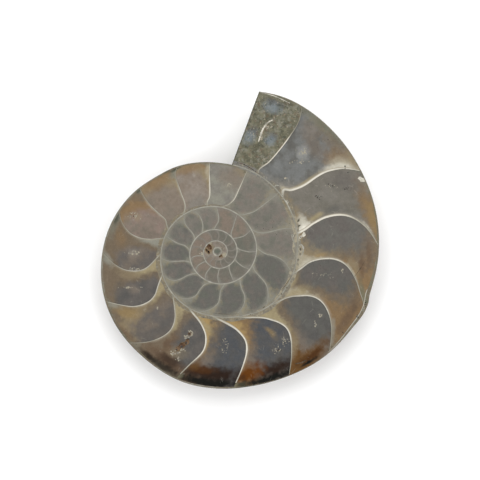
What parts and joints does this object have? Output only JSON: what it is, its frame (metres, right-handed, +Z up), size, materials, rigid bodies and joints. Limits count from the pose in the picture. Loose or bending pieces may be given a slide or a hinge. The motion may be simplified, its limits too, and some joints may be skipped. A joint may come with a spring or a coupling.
{
  "type": "ammonite fossil half",
  "caption": "Coiled ammonite shell turned to stone, sawn in half through its middle, with the chambered face polished and a ribbed natural back.",
  "frame": {"origin": "under the middle of the fossil's box, on the surface it rests on", "axes": "+Z up, out of the polished sawn face; the shell grows anticlockwise seen from above, and its mouth ends at the top, on the +Y side"},
  "size_m": [0.0696, 0.0744, 0.0094],
  "materials": {
    "banded_calcite": "polished on the sawn face, satin on the natural back"
  },
  "bodies": {
    "root": {"ammonite_half": "banded_calcite"}
  },
  "joints": []
}
